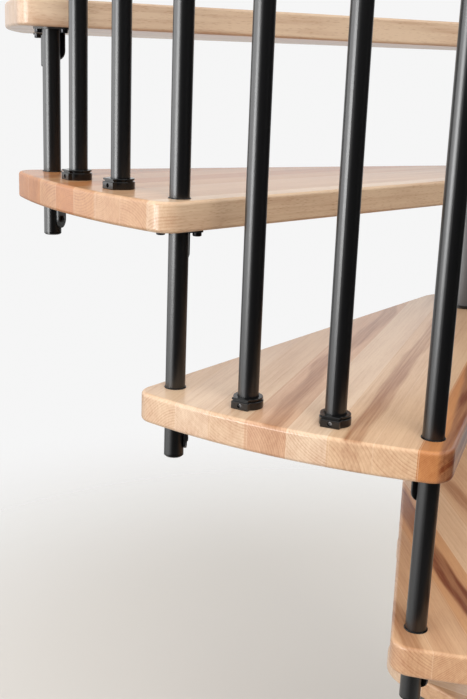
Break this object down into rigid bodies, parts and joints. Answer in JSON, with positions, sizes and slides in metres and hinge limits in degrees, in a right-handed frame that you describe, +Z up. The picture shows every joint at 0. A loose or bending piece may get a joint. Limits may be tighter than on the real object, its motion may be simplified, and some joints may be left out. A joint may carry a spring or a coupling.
{
  "type": "modular spiral staircase",
  "caption": "Spiral staircase with solid beech treads on a steel column, black upright balusters, a round handrail and a landing.",
  "frame": {"origin": "centre of the column on the underside of its base plate, where it meets the floor", "axes": "+Z up along the column; the landing's rear side, where it meets the upper floor, runs along +X and faces -Y; the stair climbs clockwise seen from above"},
  "size_m": [1.5999, 1.6, 3.818],
  "materials": {
    "beech": "edge-glued beech staves under a clear satin lacquer",
    "baluster_steel": "anthracite black powder coat, satin",
    "column_steel": "dark grey powder coat, satin",
    "core_steel": "primed steel",
    "bracket_steel": "black coated sheet steel",
    "black_plastic": "black moulded plastic, glossy",
    "rail_plastic": "black plastic, satin"
  },
  "bodies": {
    "root": {"tread_01": "beech", "tread_02": "beech", "tread_03": "beech", "tread_04": "beech", "tread_05": "beech", "tread_06": "beech", "tread_07": "beech", "tread_08": "beech", "tread_09": "beech", "tread_10": "beech", "tread_11": "beech", "landing": "beech", "balusters_01": "baluster_steel", "balusters_02": "baluster_steel", "balusters_03": "baluster_steel", "balusters_04": "baluster_steel", "balusters_05": "baluster_steel", "balusters_06": "baluster_steel", "balusters_07": "baluster_steel", "balusters_08": "baluster_steel", "balusters_09": "baluster_steel", "balusters_10": "baluster_steel", "balusters_11": "baluster_steel", "landing_balusters": "baluster_steel", "core_tube": "core_steel", "base_plate": "column_steel", "column_spacers": "column_steel", "column_rings": "black_plastic", "column_cap": "black_plastic", "start_foot": "baluster_steel", "tube_plugs": "black_plastic", "baluster_collars": "black_plastic", "front_brackets": "bracket_steel", "rear_brackets": "bracket_steel", "handrail": "rail_plastic", "rail_caps": "rail_plastic", "landing_angle": "bracket_steel"}
  },
  "joints": []
}
